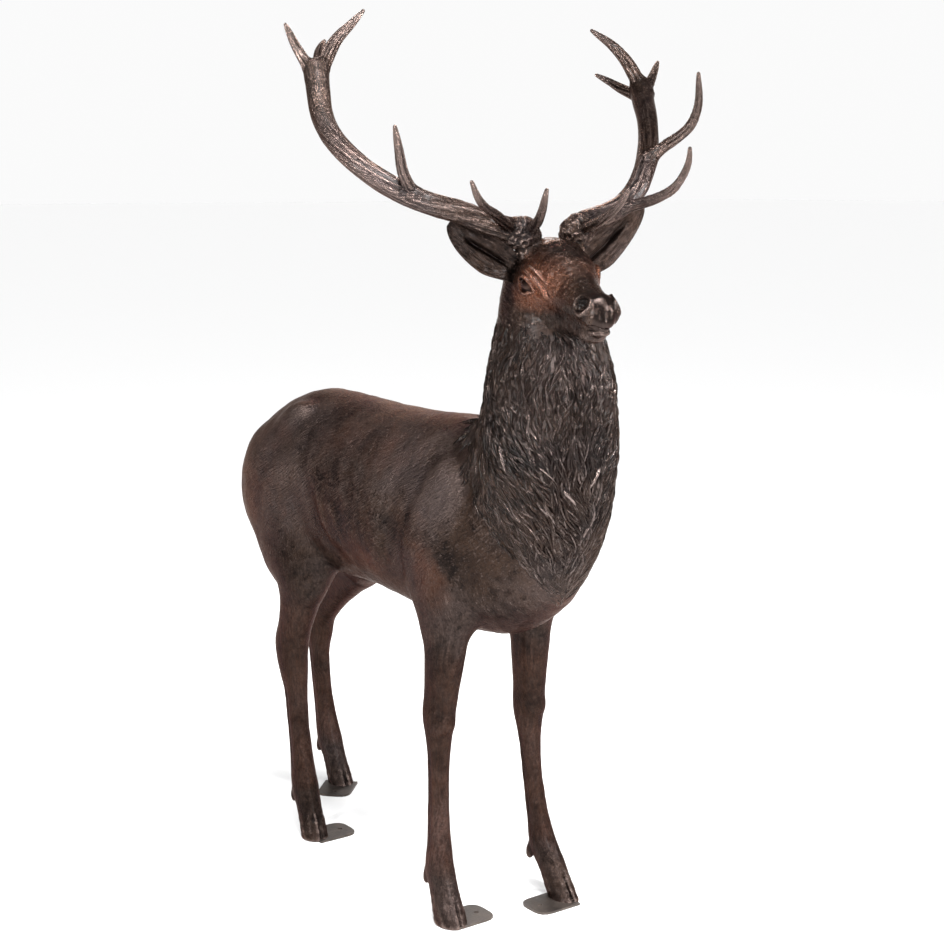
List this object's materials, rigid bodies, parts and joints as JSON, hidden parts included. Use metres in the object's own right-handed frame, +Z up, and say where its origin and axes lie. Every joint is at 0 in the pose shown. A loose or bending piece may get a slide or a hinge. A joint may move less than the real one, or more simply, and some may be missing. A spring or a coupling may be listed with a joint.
{
  "type": "stag sculpture",
  "caption": "Life-size standing stag cast in bronze with spreading antlers and a thick mane, on drilled fixing tabs under its hooves.",
  "frame": {"origin": "ground level at the middle of the bounding box's footprint", "axes": "+X the way the stag's body points, +Y to the stag's left, +Z up"},
  "size_m": [1.6082, 0.9478, 2.1314],
  "materials": {
    "patinated_bronze": "dark brown patina, rubbed lighter on high points",
    "tab_bronze": "dull dark patina on flat plate"
  },
  "bodies": {
    "root": {"stag": "patinated_bronze", "fixing_tab_front_right": "tab_bronze", "fixing_tab_front_left": "tab_bronze", "fixing_tab_hind_right": "tab_bronze", "fixing_tab_hind_left": "tab_bronze"}
  },
  "joints": []
}
